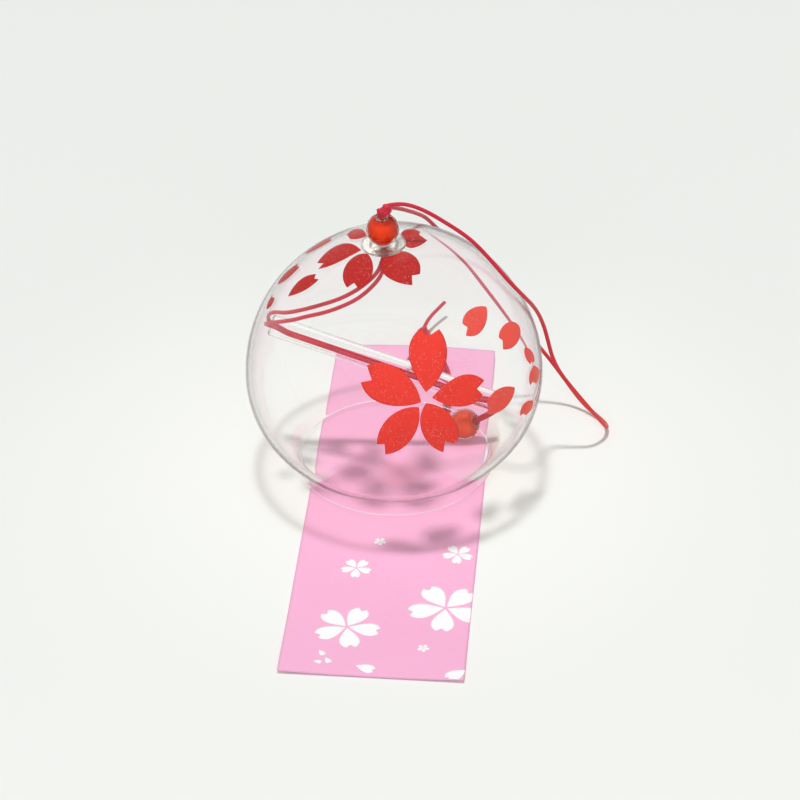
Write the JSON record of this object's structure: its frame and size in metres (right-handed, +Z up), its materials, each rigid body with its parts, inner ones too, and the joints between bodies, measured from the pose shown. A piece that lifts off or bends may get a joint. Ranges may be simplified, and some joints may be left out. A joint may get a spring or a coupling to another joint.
{
  "type": "wind bell",
  "caption": "Hand-blown glass wind bell with red blossom petals, a glass clapper tube, faceted beads, a doubled red cord and a pink paper strip",
  "frame": {"origin": "on the table under the centre of the bell's mouth, on the underside of the paper strip", "axes": "+Z up, +Y along the paper strip to the end that is tied to the cord, +X across the strip"},
  "size_m": [0.0983, 0.1698, 0.0821],
  "materials": {
    "glass": "clear blown soda glass, red petals printed on the bell",
    "washer_plastic": "clear, slightly frosted",
    "bead_clear": "clear, faceted",
    "bead_orange": "opaque",
    "cord": "fine braid",
    "paper": "matte, white blossoms printed on top"
  },
  "bodies": {
    "bell": {"glass_bell": "glass", "crown_washer": "washer_plastic"},
    "top_bead": {"top_bead_shell": "bead_clear", "top_bead_core": "bead_orange"},
    "loop": {"top_knot": "cord", "hanging_loop": "cord"},
    "clapper": {"stop_knot": "cord", "crown_strand_left": "cord", "crown_strand_right": "cord", "drop_strand_front": "cord", "drop_strand_back": "cord", "tube_strand_front": "cord", "tube_strand_back": "cord", "bead_cord_front": "cord", "bead_cord_back": "cord"},
    "tube": {"clapper_tube": "glass"},
    "strip_line": {"link_cord_left": "cord", "link_cord_right": "cord", "strip_knot": "cord", "strip_tie": "cord", "cord_tail": "cord", "paper_strip": "paper"},
    "lower_bead": {"lower_bead_shell": "bead_clear", "lower_bead_core": "bead_orange"}
  },
  "joints": [
    {"name": "top_bead_turn", "type": "hinge", "parent": "bell", "child": "top_bead", "pos_m": [-0.0032, -0.00154, 0.07474], "axis": [-0.0639, -0.0209, 0.9977], "continuous": true},
    {"name": "loop_lift", "type": "hinge", "parent": "bell", "child": "loop", "pos_m": [-0.00269, -0.00167, 0.08078], "axis": [0, -1, 0], "range_deg": [0, 130]},
    {"name": "clapper_swing", "type": "hinge", "parent": "bell", "child": "clapper", "pos_m": [-0.0027, -0.00138, 0.06686], "axis": [-0.0639, -0.0209, 0.9977], "range_deg": [-12, 12], "deforming": ["bead_cord_front", "bead_cord_back"]},
    {"name": "tube_roll", "type": "hinge", "parent": "clapper", "child": "tube", "pos_m": [-0.0346, 0.0081, 0.0372], "axis": [0.9317, 0.0342, -0.3616], "continuous": true},
    {"name": "strip_swing", "type": "hinge", "parent": "bell", "child": "strip_line", "pos_m": [0.0182, 0.0115, 0.00485], "axis": [0, 0, 1], "range_deg": [-15, 15]},
    {"name": "lower_bead_turn", "type": "hinge", "parent": "strip_line", "child": "lower_bead", "pos_m": [0.0182, 0.0115, 0.00485], "axis": [0.9063, 0, 0.4226], "continuous": true}
  ]
}
